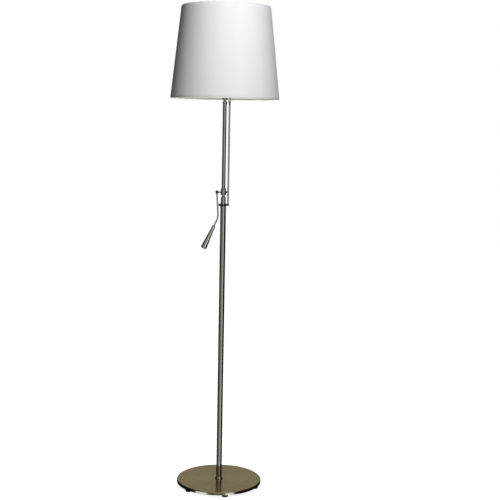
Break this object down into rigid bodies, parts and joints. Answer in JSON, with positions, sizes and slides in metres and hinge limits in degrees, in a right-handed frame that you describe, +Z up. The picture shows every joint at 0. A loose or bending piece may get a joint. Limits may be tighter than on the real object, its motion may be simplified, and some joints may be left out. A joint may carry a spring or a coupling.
{
  "type": "floor lamp",
  "caption": "Floor lamp with a round weighted base, slim post, parallelogram swing arm moved by a handle, and a tapered fabric shade that stays level.",
  "frame": {"origin": "on the floor under the middle of the round base, which is also the post's and the shade's axis at rest", "axes": "+Z up along the post; +X is the way the arm tips, and the link rod is on that side; -Y is the front, and every hinge axis lies along Y"},
  "size_m": [0.3579, 0.358, 1.6],
  "materials": {
    "brushed_bronze": "satin, brushed in rings, bronze-grey plating",
    "satin_nickel": "satin nickel plating, brushed along the tube",
    "polished_nickel": "polished nickel plating",
    "dark_chrome": "polished black nickel plating",
    "cast_iron": "as cast, lightly painted",
    "black_paint": "matt black powder coat",
    "rubber": "matt black moulded rubber",
    "zinc_steel": "zinc plated steel",
    "black_plastic": "matt black moulded plastic",
    "nylon": "natural white nylon",
    "fibre_board": "pressed insulating board",
    "phenolic": "black phenolic moulding",
    "brass": "bright pressed brass",
    "opal_glass": "frosted white inside",
    "white_wire": "white coated wire",
    "shade_fabric": "white woven fabric laminated on a stiff liner"
  },
  "bodies": {
    "post": {"base_cover": "brushed_bronze", "base_weight": "cast_iron", "base_plate": "black_paint", "rubber_feet": "rubber", "foot_screws": "zinc_steel", "lead_inlet_bushing": "black_plastic", "base_nipple": "zinc_steel", "base_lock_washer": "zinc_steel", "base_lock_nut": "zinc_steel", "post_foot_collar": "satin_nickel", "post_foot_insert": "zinc_steel", "post_tube": "satin_nickel", "post_fork": "satin_nickel", "link_collar": "dark_chrome", "collar_grub_screw": "zinc_steel", "arm_pivot_bolt": "satin_nickel", "arm_pivot_nut": "satin_nickel", "arm_friction_washers": "nylon", "link_lower_pin": "dark_chrome"},
    "arm": {"arm_lower_fitting": "satin_nickel", "arm_tube": "satin_nickel", "arm_upper_fitting": "satin_nickel", "handle_cross_bar": "polished_nickel", "cross_bar_cap_nut": "dark_chrome", "handle_clamp_block": "dark_chrome", "clamp_grub_screw": "zinc_steel", "handle_rod": "polished_nickel", "handle_grip": "polished_nickel"},
    "link": {"link_rod": "polished_nickel", "link_lower_eye": "polished_nickel", "link_upper_eye": "dark_chrome"},
    "head": {"head_fork": "satin_nickel", "head_pivot_bolt": "satin_nickel", "head_pivot_nut": "satin_nickel", "head_friction_washers": "nylon", "link_upper_pin": "dark_chrome", "head_nipple": "zinc_steel", "harp_saddle": "polished_nickel", "harp_ferrules": "polished_nickel", "harp_bow": "polished_nickel", "harp_finial": "satin_nickel", "lampholder_cap": "satin_nickel", "lampholder_shell": "satin_nickel", "lampholder_liner": "fibre_board", "switch_body": "phenolic", "screw_shell": "brass", "centre_contact": "brass", "bulb_screw_cap": "zinc_steel", "bulb_tip_contact": "brass", "bulb_glass": "opal_glass", "shade_top_spider": "white_wire", "shade_bottom_ring": "white_wire", "shade_skin": "shade_fabric"},
    "switch_knob": {"switch_knob": "phenolic"}
  },
  "joints": [
    {"name": "arm_tilt", "type": "hinge", "parent": "post", "child": "arm", "pos_m": [0, 0, 0.968], "axis": [0, 1, 0], "range_deg": [0, 28]},
    {"name": "link_tilt", "type": "hinge", "parent": "post", "child": "link", "pos_m": [0.0158, 0, 0.9554], "axis": [0, 1, 0], "range_deg": [0, 28]},
    {"name": "head_level", "type": "hinge", "parent": "arm", "child": "head", "pos_m": [0, 0, 1.304], "axis": [0, 1, 0], "range_deg": [-28, 0]},
    {"name": "switch_turn", "type": "hinge", "parent": "head", "child": "switch_knob", "pos_m": [0, -0.019, 1.3525], "axis": [0, -1, 0], "continuous": true}
  ],
  "couplings": [
    {"joint": "link_tilt", "follows": "arm_tilt", "ratio": 1},
    {"joint": "head_level", "follows": "arm_tilt", "ratio": -1}
  ]
}
